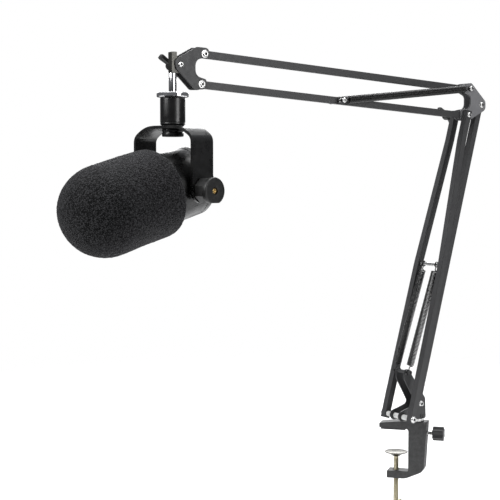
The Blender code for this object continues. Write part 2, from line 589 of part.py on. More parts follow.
# ============================ microphone ======================================================
def microphone():
    """Body, basket, electronics and windscreen, turned about the nose axis (local Z)."""
    bore = BODY_RADIUS - 2 * MM
    lip = BODY_REAR + 3 * MM
    body = turned("body_shell", [
        (bore, BODY_FRONT), (BODY_RADIUS, BODY_FRONT), (BODY_RADIUS, BODY_REAR + 4 * MM),
        (BODY_RADIUS - 1.2 * MM, BODY_REAR + 1.2 * MM), (BODY_RADIUS - 4 * MM, BODY_REAR),
        (26 * MM, BODY_REAR), (26 * MM, lip), (bore, lip)],
        "satin", steps=36, ring=True, parent=CAPSULE)
    for side, sign in (("near", -1), ("far", 1)):
        combine(body, cutter(f"body_{side}_hole", 3 * MM + GAP, 12 * MM, MIC,
                             (0, sign * BODY_RADIUS, PIVOT_Z), ALONG_Y))
    cap = 26 * MM - GAP
    turned("rear_cap", [
        (9.6 * MM, lip), (cap, lip), (cap, BODY_REAR + 0.8 * MM), (9.6 * MM, BODY_REAR + 0.8 * MM)],
        "satin", steps=30, ring=True, parent=CAPSULE)
    socket = 9.6 * MM - GAP
    floor = BODY_REAR + 12 * MM
    insert = turned("xlr_insert", [
        (0, floor + 3 * MM), (socket, floor + 3 * MM), (socket, BODY_REAR + 0.5 * MM),
        (8.2 * MM, BODY_REAR + 0.5 * MM), (8.2 * MM, floor), (0, floor)],
        "steel", steps=20, parent=CAPSULE)
    for k in range(3):
        angle = math.radians(90 + 120 * k)
        pin = cutter(f"xlr_pin_{k}", 1.1 * MM, 6 * MM, CAPSULE,
                     (4.2 * MM * math.cos(angle), 4.2 * MM * math.sin(angle), floor - 1.5 * MM))
        combine(insert, pin, "UNION")
    box("circuit_board", (42 * MM, 1.6 * MM, 26 * MM), "board", parent=CAPSULE,
        location=(0, 14 * MM, 4 * MM))

    mesh_out = BODY_RADIUS
    mesh_in = BODY_RADIUS - 1.2 * MM
    dome = BASKET_FRONT - 20 * MM
    arc = [math.radians(a) for a in (0, 22.5, 45, 67.5, 90)]
    outside = [(mesh_out * math.cos(a), dome + 20 * MM * math.sin(a)) for a in reversed(arc)]
    inside = [(mesh_in * math.cos(a), dome + 18.8 * MM * math.sin(a)) for a in arc]
    start = BODY_FRONT + GAP
    turned("grille_basket", outside + [(mesh_out, start), (mesh_in, start)] + inside,
           "coat", steps=28, parent=CAPSULE)
    seat = 46 * MM
    turned("capsule_cradle", [
        (0, seat), (14 * MM, seat), (14 * MM, 24 * MM), (32.6 * MM, 24 * MM), (32.6 * MM, 21 * MM),
        (0, 21 * MM)], "rubber", steps=24, parent=CAPSULE)
    turned("capsule", [
        (0, 62 * MM), (15 * MM, 62 * MM), (17 * MM, 60 * MM), (17 * MM, seat + GAP), (0, seat + GAP)],
        "brass", steps=24, parent=CAPSULE)

    cavity = BODY_RADIUS + 0.5 * MM
    nose = FOAM_FRONT - FOAM_RADIUS
    arc = [math.radians(a) for a in (15, 30, 45, 60, 75, 90)]
    shell = [(0, FOAM_FRONT)]
    shell += [(FOAM_RADIUS * math.cos(a), nose + FOAM_RADIUS * math.sin(a)) for a in reversed(arc[:-1])]
    shell += [(FOAM_RADIUS, nose), (FOAM_RADIUS, FOAM_REAR + 12 * MM),
              (FOAM_RADIUS - 1 * MM, FOAM_REAR + 6 * MM), (FOAM_RADIUS - 3.5 * MM, FOAM_REAR + 2 * MM),
              (FOAM_RADIUS - 7 * MM, FOAM_REAR), (cavity, FOAM_REAR)]
    hollow = [(cavity * math.cos(a), dome + 21 * MM * math.sin(a)) for a in
              (math.radians(b) for b in (0, 22.5, 45, 67.5, 90))]
    turned("foam_windscreen", shell + hollow, "foam", steps=32, parent=CAPSULE)


ARM = empty("arm_frame", location=(POST_X, 0, 0), rotation=(0, 0, SWIVEL))
STEM_AT = Matrix.Rotation(SWIVEL, 2) @ Vector((STEM_X, 0))
MIC = empty("stem_frame", location=(POST_X + STEM_AT.x, STEM_AT.y, 0), rotation=(0, 0, MIC_YAW))
NOSE_AXIS = math.radians(-90) - MIC_TILT      # turns local Z to the nose direction
CAPSULE = empty("nose_frame", MIC, (0, 0, PIVOT_Z + AXIS_RISE), (0, NOSE_AXIS, 0))

clamp()
arm_base()
lower_arm()
elbow()
upper_arm()
head()
hanger()
microphone()
bpy.context.view_layer.update()
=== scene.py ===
"""Looks for the boom microphone: finishes, wound springs, porous foam, cut threads and soft edges."""
import json
import math

import bmesh
import bpy
from mathutils import Matrix, Vector, noise


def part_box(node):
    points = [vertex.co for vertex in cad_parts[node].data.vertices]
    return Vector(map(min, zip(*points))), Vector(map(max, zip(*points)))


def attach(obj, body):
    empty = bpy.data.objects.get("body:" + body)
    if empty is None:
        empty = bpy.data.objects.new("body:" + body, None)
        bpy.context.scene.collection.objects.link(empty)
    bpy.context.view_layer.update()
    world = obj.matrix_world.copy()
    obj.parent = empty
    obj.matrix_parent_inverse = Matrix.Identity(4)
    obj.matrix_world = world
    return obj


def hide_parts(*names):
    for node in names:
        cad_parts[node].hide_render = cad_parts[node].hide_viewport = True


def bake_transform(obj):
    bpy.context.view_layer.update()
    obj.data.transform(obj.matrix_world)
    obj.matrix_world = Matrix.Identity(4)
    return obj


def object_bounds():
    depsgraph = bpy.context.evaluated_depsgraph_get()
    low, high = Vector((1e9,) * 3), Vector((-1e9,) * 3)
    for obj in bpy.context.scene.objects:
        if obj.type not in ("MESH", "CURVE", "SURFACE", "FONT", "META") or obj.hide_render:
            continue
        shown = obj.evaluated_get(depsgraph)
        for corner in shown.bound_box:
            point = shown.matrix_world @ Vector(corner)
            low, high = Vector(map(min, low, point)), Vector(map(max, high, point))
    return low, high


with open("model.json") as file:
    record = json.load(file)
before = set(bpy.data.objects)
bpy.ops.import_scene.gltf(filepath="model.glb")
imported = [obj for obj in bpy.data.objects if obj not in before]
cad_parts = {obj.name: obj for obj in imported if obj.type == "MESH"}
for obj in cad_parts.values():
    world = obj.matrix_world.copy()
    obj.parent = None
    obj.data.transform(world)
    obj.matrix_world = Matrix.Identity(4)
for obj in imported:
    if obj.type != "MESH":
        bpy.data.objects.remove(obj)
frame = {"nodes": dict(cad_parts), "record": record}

MM = 0.001
UP = Vector((0, 0, 1))
CAD_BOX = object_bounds()
JOINTS = {j["name"]: j for j in frame["record"]["behaviour"]["joints"]}
BODIES = frame["record"]["behaviour"]["bodies"]
BODY_OF = {node: body for body, nodes in BODIES.items() for node in nodes}
SLOT_OF = {part["node"]: part["material_slot"] for part in frame["record"]["subparts"]}


def joint_at(name):
    return Vector(JOINTS[name]["pos_m"])


ARM_Y = Vector(JOINTS["lower_arm"]["axis"]).normalized()
ARM_X = ARM_Y.cross(UP)
MIC_Y = Vector(JOINTS["mic_tilt"]["axis"]).normalized()
MIC_X = MIC_Y.cross(UP)
MIC_TILT = math.radians(14.5)
PIVOT = joint_at("mic_tilt")
NOSE = -MIC_X * math.cos(MIC_TILT) - UP * math.sin(MIC_TILT)
STEM = joint_at("mic_swivel")


def basis(x, y, z, origin):
    """Matrix that carries local axes onto the three directions at origin."""
    made = Matrix((x, y, z)).transposed().to_4x4()
    made.translation = origin
    return made


def pivot_frame(origin):
    """Local Z along the arm's pivots, toward the far side."""
    return basis(ARM_X, -UP, ARM_Y, origin)


# ============================ finishes ========================================================
class Finish:
    """Principled material whose colour, roughness and relief come from procedural textures."""

    def __init__(self, name, colour, rough, metal=0.0):
        self.made = bpy.data.materials.new(name)
        self.made.use_nodes = True
        self.tree = self.made.node_tree
        self.shader = self.tree.nodes["Principled BSDF"]
        self.shader.inputs["Metallic"].default_value = metal
        self.shader.inputs["Base Color"].default_value = (*colour, 1)
        self.shader.inputs["Roughness"].default_value = rough
        self.coords = self.node("ShaderNodeTexCoord").outputs["Object"]
        self.normal = None

    def node(self, kind, **settings):
        made = self.tree.nodes.new(kind)
        for key, value in settings.items():
            if key in made.inputs:
                made.inputs[key].default_value = value
            else:
                setattr(made, key, value)
        return made

    def link(self, output, target):
        self.tree.links.new(output, target)

    def noise(self, scale, detail=3.0, stretch=None):
        made = self.node("ShaderNodeTexNoise", Scale=scale, Detail=detail)
        source = self.coords
        if stretch:
            mapping = self.node("ShaderNodeMapping")
            mapping.inputs["Scale"].default_value = stretch
            self.link(source, mapping.inputs["Vector"])
            source = mapping.outputs["Vector"]
        self.link(source, made.inputs["Vector"])
        return made.outputs["Fac"]

    def pores(self, scale):
        made = self.node("ShaderNodeTexVoronoi", Scale=scale, feature="F1")
        self.link(self.coords, made.inputs["Vector"])
        return made.outputs["Distance"]

    def ramp(self, source, low, high, a=0.35, b=0.65):
        made = self.node("ShaderNodeValToRGB")
        made.color_ramp.elements[0].position = a
        made.color_ramp.elements[1].position = b
        made.color_ramp.elements[0].color = (*low, 1)
        made.color_ramp.elements[1].color = (*high, 1)
        self.link(source, made.inputs["Fac"])
        return made.outputs["Color"]

    def tint(self, source, low, high, a=0.35, b=0.65):
        self.link(self.ramp(source, low, high, a, b), self.shader.inputs["Base Color"])
        return self

    def roughness(self, source, low, high, a=0.3, b=0.7):
        made = self.node("ShaderNodeMapRange")
        for key, value in (("From Min", a), ("From Max", b), ("To Min", low), ("To Max", high)):
            made.inputs[key].default_value = value
        self.link(source, made.inputs["Value"])
        self.link(made.outputs["Result"], self.shader.inputs["Roughness"])
        return self

    def relief(self, source, depth, strength=1.0):
        """Bump of a real depth in metres, stacked on any relief already there."""
        made = self.node("ShaderNodeBump", Strength=strength, Distance=depth)
        self.link(source, made.inputs["Height"])
        if self.normal is not None:
            self.link(self.normal, made.inputs["Normal"])
        self.normal = made.outputs["Normal"]
        self.link(self.normal, self.shader.inputs["Normal"])
        return self

    def painted_edge_shade(self, radius, face, edge):
        """Painted shade along sharp edges: another colour where the true and rounded normals part, standing
        in for the dark that rounded edges reflect.
        """
        soft = self.node("ShaderNodeBevel", Radius=radius)
        soft.samples = 4
        sharp = self.node("ShaderNodeNewGeometry")
        dot = self.node("ShaderNodeVectorMath", operation="DOT_PRODUCT")
        self.link(soft.outputs["Normal"], dot.inputs[0])
        self.link(sharp.outputs["True Normal"], dot.inputs[1])
        self.link(self.ramp(dot.outputs["Value"], edge, face, 0.86, 0.985), self.shader.inputs["Base Color"])
        return self


def powder_coat(name, tone, rough):
    """Satin powder coat: orange-peel relief and painted shade along the edges, a darker colour in place of
    the dark the rounded edges reflect.
    """
    made = Finish(name, (tone, tone, tone * 1.03), rough, 0.0)
    # painted shade: the edges take tone * 0.12, standing in for the dark reflected by the rounded edges
    made.painted_edge_shade(1.0 * MM, (tone, tone, tone * 1.03), (tone * 0.12,) * 3)
    made.roughness(made.noise(180), rough - 0.06, rough + 0.08)
    made.relief(made.noise(1400, 2), 0.05 * MM, 0.5)
    return made.relief(made.noise(5200, 1), 0.02 * MM, 0.4).made


def cast_coat(name, tone):
    """Wrinkle paint over a casting."""
    made = Finish(name, (tone, tone, tone), 0.55)
    made.tint(made.noise(260, 4), (tone * 0.75,) * 3, (tone * 1.25,) * 3)
    made.roughness(made.noise(700), 0.45, 0.7)
    made.relief(made.noise(1100, 4), 0.16 * MM, 0.7)
    return made.relief(made.noise(160, 2), 0.2 * MM, 0.25).made


def satin_black(name, tone, rough):
    """Fine satin lacquer on metal: soft highlights, a trace of dust and handling."""
    made = Finish(name, (tone,) * 3, rough)
    made.tint(made.noise(45, 4), (tone * 0.8,) * 3, (tone * 1.25,) * 3)
    made.roughness(made.noise(120, 5), rough - 0.07, rough + 0.07)
    made.relief(made.noise(3600, 2), 0.015 * MM, 0.5)
    made.shader.inputs["Specular IOR Level"].default_value = 0.55
    return made.made


def moulded(name, tone):
    """Moulded plastic with a spark-eroded grain."""
    made = Finish(name, (tone,) * 3, 0.42)
    made.tint(made.noise(90, 3), (tone * 0.8,) * 3, (tone * 1.3,) * 3)
    made.roughness(made.noise(400), 0.36, 0.52)
    return made.relief(made.noise(2600, 3), 0.05 * MM, 0.5).made


def bright_metal(name, colour, rough, stretch=(1, 1, 14)):
    """Plated or turned metal with fine directional lines and cloudy tarnish."""
    made = Finish(name, colour, rough, 1.0)
    dull = tuple(c * 0.82 for c in colour)
    made.tint(made.noise(110, 4), dull, colour)
    made.roughness(made.noise(900, 2, stretch), rough * 0.75, rough * 1.5)
    return made.relief(made.noise(2400, 1, stretch), 0.01 * MM, 0.3).made


def chrome(name):
    made = Finish(name, (0.86, 0.86, 0.86), 0.06, 1.0)
    made.roughness(made.noise(240, 5), 0.04, 0.13)
    return made.relief(made.noise(60, 2), 0.02 * MM, 0.12).made


def rubber(name):
    made = Finish(name, (0.018, 0.018, 0.018), 0.8)
    made.tint(made.noise(300, 4), (0.013,) * 3, (0.026,) * 3)
    made.roughness(made.noise(500), 0.7, 0.92)
    return made.relief(made.noise(1800, 3), 0.08 * MM, 0.6).made


def nylon(name):
    made = Finish(name, (0.78, 0.77, 0.73), 0.45)
    made.tint(made.noise(120, 3), (0.46, 0.46, 0.45), (0.62, 0.62, 0.61))
    made.roughness(made.noise(500), 0.35, 0.55)
    made.relief(made.noise(1500, 2), 0.02 * MM, 0.4)
    made.shader.inputs["Subsurface Weight"].default_value = 0.15
    made.shader.inputs["Subsurface Radius"].default_value = (0.002, 0.002, 0.0015)
    return made.made


def foam(name):
    """Open-cell foam: painted shade darkens the cells between lighter struts, rough all over, a soft sheen
    at the rim.
    """
    made = Finish(name, (0.03, 0.03, 0.032), 0.95)
    cells = made.pores(760)
    mottle = made.noise(420, 3)
    pore_shade = made.node("ShaderNodeMath", operation="MULTIPLY")
    made.link(cells, pore_shade.inputs[0])
    made.link(mottle, pore_shade.inputs[1])
    # painted shade: colour darkens from the struts into the cells, by cell distance times a random mottle
    made.tint(pore_shade.outputs["Value"], (0.036, 0.036, 0.038), (0.0012, 0.0012, 0.0014), 0.08, 0.30)
    made.roughness(mottle, 0.85, 1.0)
    made.relief(cells, 0.9 * MM, 0.9)
    made.relief(made.noise(2100, 2), 0.25 * MM, 0.6)
    made.shader.inputs["Sheen Weight"].default_value = 0.10
    made.shader.inputs["Sheen Roughness"].default_value = 0.45
    made.shader.inputs["Sheen Tint"].default_value = (0.75, 0.75, 0.78, 1)
    made.shader.inputs["Specular IOR Level"].default_value = 0.15
    return made.made


def board(name):
    made = Finish(name, (0.02, 0.15, 0.06), 0.4)
    made.tint(made.noise(500, 2), (0.012, 0.10, 0.04), (0.03, 0.2, 0.08), 0.45, 0.55)
    made.roughness(made.noise(300), 0.3, 0.5)
    return made.relief(made.noise(900, 1), 0.05 * MM, 0.5).made


FINISH = {
    "arm_coat": powder_coat("arm powder coat", 0.037, 0.46),
    "clamp_cast": cast_coat("clamp wrinkle paint", 0.025),
    "jaw_rubber": rubber("jaw rubber"),
    "pad_chrome": bright_metal("pad steel", (0.13, 0.125, 0.11), 0.24, (1, 1, 1)),
    "screw_steel": bright_metal("yellow zinc screw", (0.46, 0.42, 0.30), 0.26),
    "lock_steel": bright_metal("lock screw steel", (0.62, 0.62, 0.60), 0.24),
    "knob_plastic": moulded("knob plastic", 0.007),
    "bolt_steel": bright_metal("bolt zinc", (0.74, 0.74, 0.73), 0.22, (1, 1, 1)),
    "spacer_nylon": nylon("white nylon"),
    "spring_black": satin_black("spring black", 0.0025, 0.3),
    "stem_chrome": chrome("stem chrome"),
    "mic_satin": satin_black("microphone satin black", 0.0035, 0.3),
    "pivot_black": moulded("pivot plastic", 0.006),
    "pivot_brass": bright_metal("pivot brass", (0.72, 0.50, 0.20), 0.22, (1, 1, 1)),
    "connector_metal": bright_metal("connector nickel", (0.60, 0.59, 0.57), 0.25, (1, 1, 1)),
    "board_green": board("circuit board"),
    "basket_metal": powder_coat("basket paint", 0.022, 0.5),
    "capsule_gold": bright_metal("capsule gold", (0.80, 0.60, 0.28), 0.2, (1, 1, 1)),
    "foam_black": foam("windscreen foam"),
}
DARK_SOCKET = satin_black("socket shadow", 0.004, 0.6)
# Lighter copy of the arm powder coat (0.17 against 0.037): painted light on the elbow plates' near faces
ELBOW_LIT_COAT = powder_coat("elbow powder coat painted light", 0.17, 0.42)
RIVET_BLACK = powder_coat("painted rivet", 0.03, 0.5)
KNUCKLE_STEEL = bright_metal("knuckle steel", (0.10, 0.098, 0.09), 0.34)

for name, obj in frame["nodes"].items():
    obj.data.materials.clear()
    obj.data.materials.append(FINISH[SLOT_OF[name]])


# ============================ mesh helpers ====================================================
FILLET_STEPS = 3


def piece(name, bm, body, nodes=(), slot=None, materials=None, matrix=None, angle=30):
    """Finish a mesh: place it, shade it, let it ride its body and stand for its CAD nodes."""
    if matrix is not None:
        bmesh.ops.transform(bm, matrix=matrix, verts=bm.verts)
    bmesh.ops.recalc_face_normals(bm, faces=bm.faces)
    mesh = bpy.data.meshes.new(name)
    bm.to_mesh(mesh)
    bm.free()
    mesh.shade_smooth()
    mesh.set_sharp_from_angle(angle=math.radians(angle))
    obj = bpy.data.objects.new(name, mesh)
    bpy.context.scene.collection.objects.link(obj)
    for made in materials or [FINISH[slot]]:
        mesh.materials.append(made)
    if body:
        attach(obj, body)
    if nodes:
        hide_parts(*nodes)
    return obj


def fillet(points, radius, closed=False):
    """Round every corner of a polyline by up to radius, leaving its ends alone unless closed."""
    out = []
    count = len(points)
    for i, here in enumerate(points):
        here = Vector(here)
        if not closed and i in (0, count - 1):
            out.append(here)
            continue
        before = Vector(points[i - 1]) - here
        after = Vector(points[(i + 1) % count]) - here
        if before.length < 1e-7 or after.length < 1e-7 or before.angle(after) > math.radians(172):
            out.append(here)
            continue
        reach = min(radius, before.length * 0.45, after.length * 0.45)
        start = here + before.normalized() * reach
        end = here + after.normalized() * reach
        for k in range(FILLET_STEPS + 1):
            t = k / FILLET_STEPS
            out.append(start * (1 - t) ** 2 + here * 2 * t * (1 - t) + end * t ** 2)
    return out


def spin(bm, profile, segments=48, closed=False, phase=0.0):
    """Turn (radius, height) points about local Z; radii of zero close on the axis."""
    rings = []
    for radius, height in profile:
        if radius < 1e-6:
            rings.append([bm.verts.new((0, 0, height))])
            continue
        rings.append([bm.verts.new((radius * math.cos(a), radius * math.sin(a), height))
                      for a in (phase + 2 * math.pi * k / segments for k in range(segments))])
    pairs = list(zip(rings, rings[1:]))
    if closed:
        pairs.append((rings[-1], rings[0]))
    for a, b in pairs:
        for k in range(segments):
            j = (k + 1) % segments
            corners = [a[k % len(a)], a[j % len(a)], b[j % len(b)], b[k % len(b)]]
            unique = list(dict.fromkeys(corners))
            if len(unique) > 2:
                bm.faces.new(unique)
    return bm


def turned(name, node, profile, matrix, radius=0.4 * MM, segments=48, closed=False):
    """Turned part with rounded corners that stands for one CAD node."""
    bm = spin(bmesh.new(), fillet(profile, radius, closed=closed), segments, closed)
    return piece(name, bm, BODY_OF[node], [node], SLOT_OF[node], matrix=matrix, angle=40)


def refined(node, bevel, segments=3, materials=None):
    """Stand-in for a CAD node with its coplanar faces joined and its sharp edges rounded."""
    bm = bmesh.new()
    bm.from_mesh(frame["nodes"][node].data)
    bmesh.ops.transform(bm, matrix=frame["nodes"][node].matrix_world, verts=bm.verts)
    bmesh.ops.remove_doubles(bm, verts=bm.verts, dist=1e-6)
    bmesh.ops.dissolve_limit(bm, angle_limit=math.radians(2), verts=bm.verts, edges=bm.edges)
    obj = piece(node + "_shell", bm, BODY_OF[node], [node], SLOT_OF[node], materials)
    edge = obj.modifiers.new("rounded edges", "BEVEL")
    edge.width = bevel
    edge.segments = segments
    edge.limit_method = "ANGLE"
    edge.angle_limit = math.radians(40)
    edge.harden_normals = True


def swept(points, radius):
    """Round wire along a list of points, with flat ends."""
    curve = bpy.data.curves.new("wire", "CURVE")
    curve.dimensions = "3D"
    curve.bevel_depth = radius
    curve.bevel_resolution = 2
    curve.use_fill_caps = True
    curve.twist_mode = "MINIMUM"
    spline = curve.splines.new("POLY")
    spline.points.add(len(points) - 1)
    for target, source in zip(spline.points, points):
        target.co = (*source, 1)
    obj = bpy.data.objects.new("wire", curve)
    bpy.context.scene.collection.objects.link(obj)
    bpy.context.view_layer.update()
    mesh = bpy.data.meshes.new_from_object(obj.evaluated_get(bpy.context.evaluated_depsgraph_get()))
    bpy.data.objects.remove(obj)
    bpy.data.curves.remove(curve)
    bm = bmesh.new()
    bm.from_mesh(mesh)
    bpy.data.meshes.remove(mesh)
    bmesh.ops.remove_doubles(bm, verts=bm.verts, dist=1e-6)
    return bm


def height_on(node, direction):
    """Lowest and highest reach of a CAD node along a direction through the origin."""
    reach = [(frame["nodes"][node].matrix_world @ v.co).dot(direction)
             for v in frame["nodes"][node].data.vertices]
    return min(reach), max(reach)


# ============================ springs =========================================================
WIRE = 0.62 * MM
COIL_RADIUS = 4.2 * MM
COIL_PITCH = 1.5 * MM
SPRING_Y = 10.7 * MM
HOOK_RADIUS = 2.75 * MM
HOOK_STEPS = 18
TURN_STEPS = 14


def spring_path(length):
    """Close-wound coil along local Z with a hook round the pin at each end."""
    middle = COIL_RADIUS - WIRE
    tail = 8 * MM
    turns = int((length - 2 * tail) / COIL_PITCH)
    coil_start = (length - turns * COIL_PITCH) / 2
    hook = [Vector((HOOK_RADIUS * math.sin(a), 0, -HOOK_RADIUS * math.cos(a)))
            for a in (math.radians(200 - 355 * k / HOOK_STEPS) for k in range(HOOK_STEPS + 1))]
    path = hook[:-1] + [Vector((0, 0, HOOK_RADIUS + 0.4 * MM)), Vector((0, 0, coil_start - 1.6 * MM)),
                        Vector((middle * 0.6, 0, coil_start - 0.7 * MM))]
    for k in range(turns * TURN_STEPS + 1):
        a = 2 * math.pi * k / TURN_STEPS
        path.append(Vector((middle * math.cos(a), middle * math.sin(a),
                            coil_start + COIL_PITCH * k / TURN_STEPS)))
    flip = [Vector((p.x, p.y, length - p.z)) for p in reversed(hook[:-1])]
    path += [Vector((middle * 0.6, 0, length - coil_start + 0.7 * MM)),
             Vector((0, 0, length - coil_start + 1.6 * MM)), Vector((0, 0, length - HOOK_RADIUS - 0.4 * MM))]
    return path + flip


def wind_spring(name, start, end):
    """Spring that stretches between its pins on two bodies."""
    run = end - start
    along = run.normalized()
    across = ARM_Y.cross(along).normalized()
    bm = swept(spring_path(run.length), WIRE)
    obj = piece(name + "_wire", bm, None, [name], SLOT_OF[name],
                matrix=basis(across, ARM_Y, along, start), angle=60)
    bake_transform(obj)


def pin_centre(node):
    low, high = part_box(node)
    return (Vector(low) + Vector(high)) / 2


def make_springs():
    ear, cross = pin_centre("ear_pin"), pin_centre("cross_pin")
    anchor, top = pin_centre("upper_spring_pin"), pin_centre("elbow_top_bolt")
    for side, sign in (("near", -1), ("far", 1)):
        shift = ARM_Y * sign * SPRING_Y
        wind_spring("lower_spring_" + side, ear + shift, cross + shift)
        wind_spring("upper_spring_" + side, top + shift, anchor + shift)


# ============================ fasteners =======================================================
def fastener(node, head, nut=True, washer=0.0, dome=1.8 * MM, finish=None):
    """Socket-head bolt along the arm's pivots, with a washer, hex socket and lock nut."""
    shaft = 2 * MM
    low, high = height_on(node, ARM_Y)
    centre = pin_centre(node)
    middle = centre.dot(ARM_Y)
    near, far = low - middle + 2.2 * MM, high - middle - 2.2 * MM
    bm = bmesh.new()
    socket = head * 0.42
    rim = fillet([(0, near - dome * 0.35), (socket, near - dome * 0.35), (socket, near - dome),
                  (head * 0.72, near - dome), (head, near - dome * 0.3), (head, near), (shaft, near),
                  (shaft, far)], 0.35 * MM)
    spin(bm, rim, 32)
    if washer:
        ring = fillet([(shaft, near - 0.02 * MM), (washer, near - 0.02 * MM), (washer, near + 0.3 * MM),
                       (shaft, near + 0.3 * MM)], 0.12 * MM, closed=True)
        spin(bm, ring, 32, closed=True)
    if nut:
        hexed = [(shaft, far), (head * 0.98, far), (head, far + 0.3 * MM), (head, far + 1.3 * MM),
                 (head * 0.8, far + 1.6 * MM)]
        spin(bm, hexed, 6)
        spin(bm, fillet([(head * 0.78, far + 1.5 * MM), (head * 0.74, far + 2.1 * MM),
                         (shaft * 0.9, far + 2.1 * MM), (shaft * 0.8, far + 1.7 * MM),
                         (0, far + 1.7 * MM)], 0.2 * MM), 24)
    else:
        spin(bm, fillet([(shaft, far), (head, far), (head * 0.9, far + dome * 0.6),
                         (head * 0.4, far + dome), (0, far + dome)], 0.4 * MM), 32)
    dark = [f for f in bm.faces if f.calc_center_median().to_2d().length < socket
            and abs(f.calc_center_median().z - (near - dome * 0.35)) < 0.2 * MM]
    for face in dark:
        face.material_index = 1
    return piece(node + "_set", bm, BODY_OF[node], [node], SLOT_OF[node],
                 [finish or FINISH[SLOT_OF[node]], DARK_SOCKET], pivot_frame(centre), angle=32)


def make_fasteners():
    for node in ("base_axle", "elbow_rear_bolt", "head_lower_bolt", "head_upper_bolt"):
        fastener(node, 3.3 * MM, washer=3.9 * MM)
    fastener("base_rear_bolt", 3.4 * MM)
    fastener("elbow_front_bolt", 2.9 * MM)
    for node in ("elbow_top_bolt", "upper_spring_pin"):
        fastener(node, 2.7 * MM, nut=False, dome=1.4 * MM)
    fastener("ear_pin", 2.7 * MM, nut=False, dome=1.4 * MM, finish=RIVET_BLACK)
    fastener("hub_rivet", 2.4 * MM, nut=False, dome=0.7 * MM, finish=RIVET_BLACK)
    fastener("cross_pin", 2.3 * MM, nut=False, dome=0.8 * MM)
    fastener("nose_bolt", 2.7 * MM, nut=False)


# ============================ clamp ===========================================================
def threaded(radius, low, high, pitch, depth, segments=32):
    """Thread cut as relief on a rod between two heights."""
    bm = bmesh.new()
    rows = int((high - low) / (pitch / 5))
    grid = []
    for i in range(rows + 1):
        z = low + (high - low) * i / rows
        ring = []
        fade = min(1, i / 4, (rows - i) / 4)
        for k in range(segments):
            phase = (z / pitch - k / segments) % 1
            r = radius - depth * fade * abs(2 * phase - 1)
            a = 2 * math.pi * k / segments
            ring.append(bm.verts.new((r * math.cos(a), r * math.sin(a), z)))
        grid.append(ring)
    for a, b in zip(grid, grid[1:]):
        for k in range(segments):
            j = (k + 1) % segments
            bm.faces.new((a[k], a[j], b[j], b[k]))
    bm.faces.new(reversed(grid[0]))
    bm.faces.new(grid[-1])
    return bm


def make_clamp():
    refined("clamp_body", 1.1 * MM)
    refined("jaw_pad", 0.4 * MM)
    low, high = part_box("clamp_screw")
    radius = 3 * MM
    head = low[2] + 13.5 * MM
    bm = threaded(radius, head - 1 * MM, high[2] - 3.6 * MM, 1.25 * MM, 0.55 * MM)
    spin(bm, [(0, high[2]), (2.35 * MM, high[2]), (2.35 * MM, high[2] - 4 * MM),
              (0, high[2] - 4 * MM)], 32)
    spin(bm, fillet([(0, head), (3.2 * MM, head), (5 * MM, head - 1.5 * MM), (5 * MM, low[2] + 0.8 * MM),
                     (4.2 * MM, low[2]), (0, low[2])], 0.5 * MM), 32)
    piece("clamp_screw_threaded", bm, "screw", ["clamp_screw"], "screw_steel", angle=50)
    pad_low, pad_high = (p[2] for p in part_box("clamp_pad"))
    turned("clamp_pad_dished", "clamp_pad", [
        (0, pad_high), (12.8 * MM, pad_high), (13.2 * MM, pad_high - 0.5 * MM),
        (13 * MM, pad_high - 1.1 * MM), (9.2 * MM, pad_high - 1.9 * MM),
        (6.2 * MM, pad_high - 4 * MM), (4.6 * MM, pad_low), (2.75 * MM, pad_low),
        (2.75 * MM, pad_high - 2.8 * MM), (0, pad_high - 2.8 * MM)], Matrix.Identity(4), segments=56)
    refined("tommy_bar", 0.2 * MM)
    refined("lock_knob", 0.7 * MM)
    refined("swivel_post", 0.2 * MM)
    along_x = basis(Vector((0, 1, 0)), UP, Vector((1, 0, 0)), (0, 0, joint_at("lock_knob_turn").z))
    near_x, far_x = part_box("lock_screw")[0][0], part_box("lock_screw")[1][0]
    bm = threaded(2 * MM, near_x, far_x, 0.8 * MM, 0.35 * MM, segments=24)
    piece("lock_screw_threaded", bm, "lock", ["lock_screw"], "lock_steel", matrix=along_x, angle=50)


# ============================ arm =============================================================
def make_arm():
    for bar in ("front_bar_near", "front_bar_far", "rear_bar", "upper_bar_top", "upper_bar_bottom"):
        refined(bar, 0.45 * MM, segments=2)
    for side in ("near", "far"):
        refined("base_plate_" + side, 0.35 * MM)
        refined("head_plate_" + side, 0.35 * MM)
        # the elbow plates take the lighter copy of the arm coat, painted light
        refined("elbow_plate_" + side, 0.35 * MM, materials=[ELBOW_LIT_COAT])
    refined("stem_knuckle", 0.8 * MM, materials=[KNUCKLE_STEEL])
    for knob in ("elbow_wing_knob", "tilt_knob"):
        refined(knob, 0.5 * MM)
    for spacer in ("mid", "near", "far"):
        node = "base_spacer_" + spacer
        low, high = height_on(node, ARM_Y)
        centre = pin_centre(node)
        half = (high - low) / 2
        turned(node + "_sleeve", node, [
            (2.35 * MM, half), (3 * MM, half), (3 * MM, -half), (2.35 * MM, -half)],
            pivot_frame(centre), radius=0.25 * MM, segments=32, closed=True)


def make_axle_washers():
    """Black washers pressed against both faces of the base plates on the long axle."""
    centre = joint_at("lower_arm")
    bm = bmesh.new()
    for side in ("near", "far"):
        low, high = (y - centre.dot(ARM_Y) for y in height_on("base_plate_" + side, ARM_Y))
        for a, b in ((low - 1.5 * MM, low - 0.03 * MM), (high + 0.03 * MM, high + 1.5 * MM)):
            spin(bm, fillet([(3.05 * MM, a), (4.5 * MM, a), (4.5 * MM, b), (3.05 * MM, b)],
                            0.4 * MM, closed=True), 32, closed=True)
    piece("axle_washers", bm, "base", slot="jaw_rubber", matrix=pivot_frame(centre))


# ============================ stem, collar and yoke ===========================================
COLLAR_RADIUS = 12.4 * MM
RING_RADIUS = 10.7 * MM
KNOB_BORE = 3.35 * MM


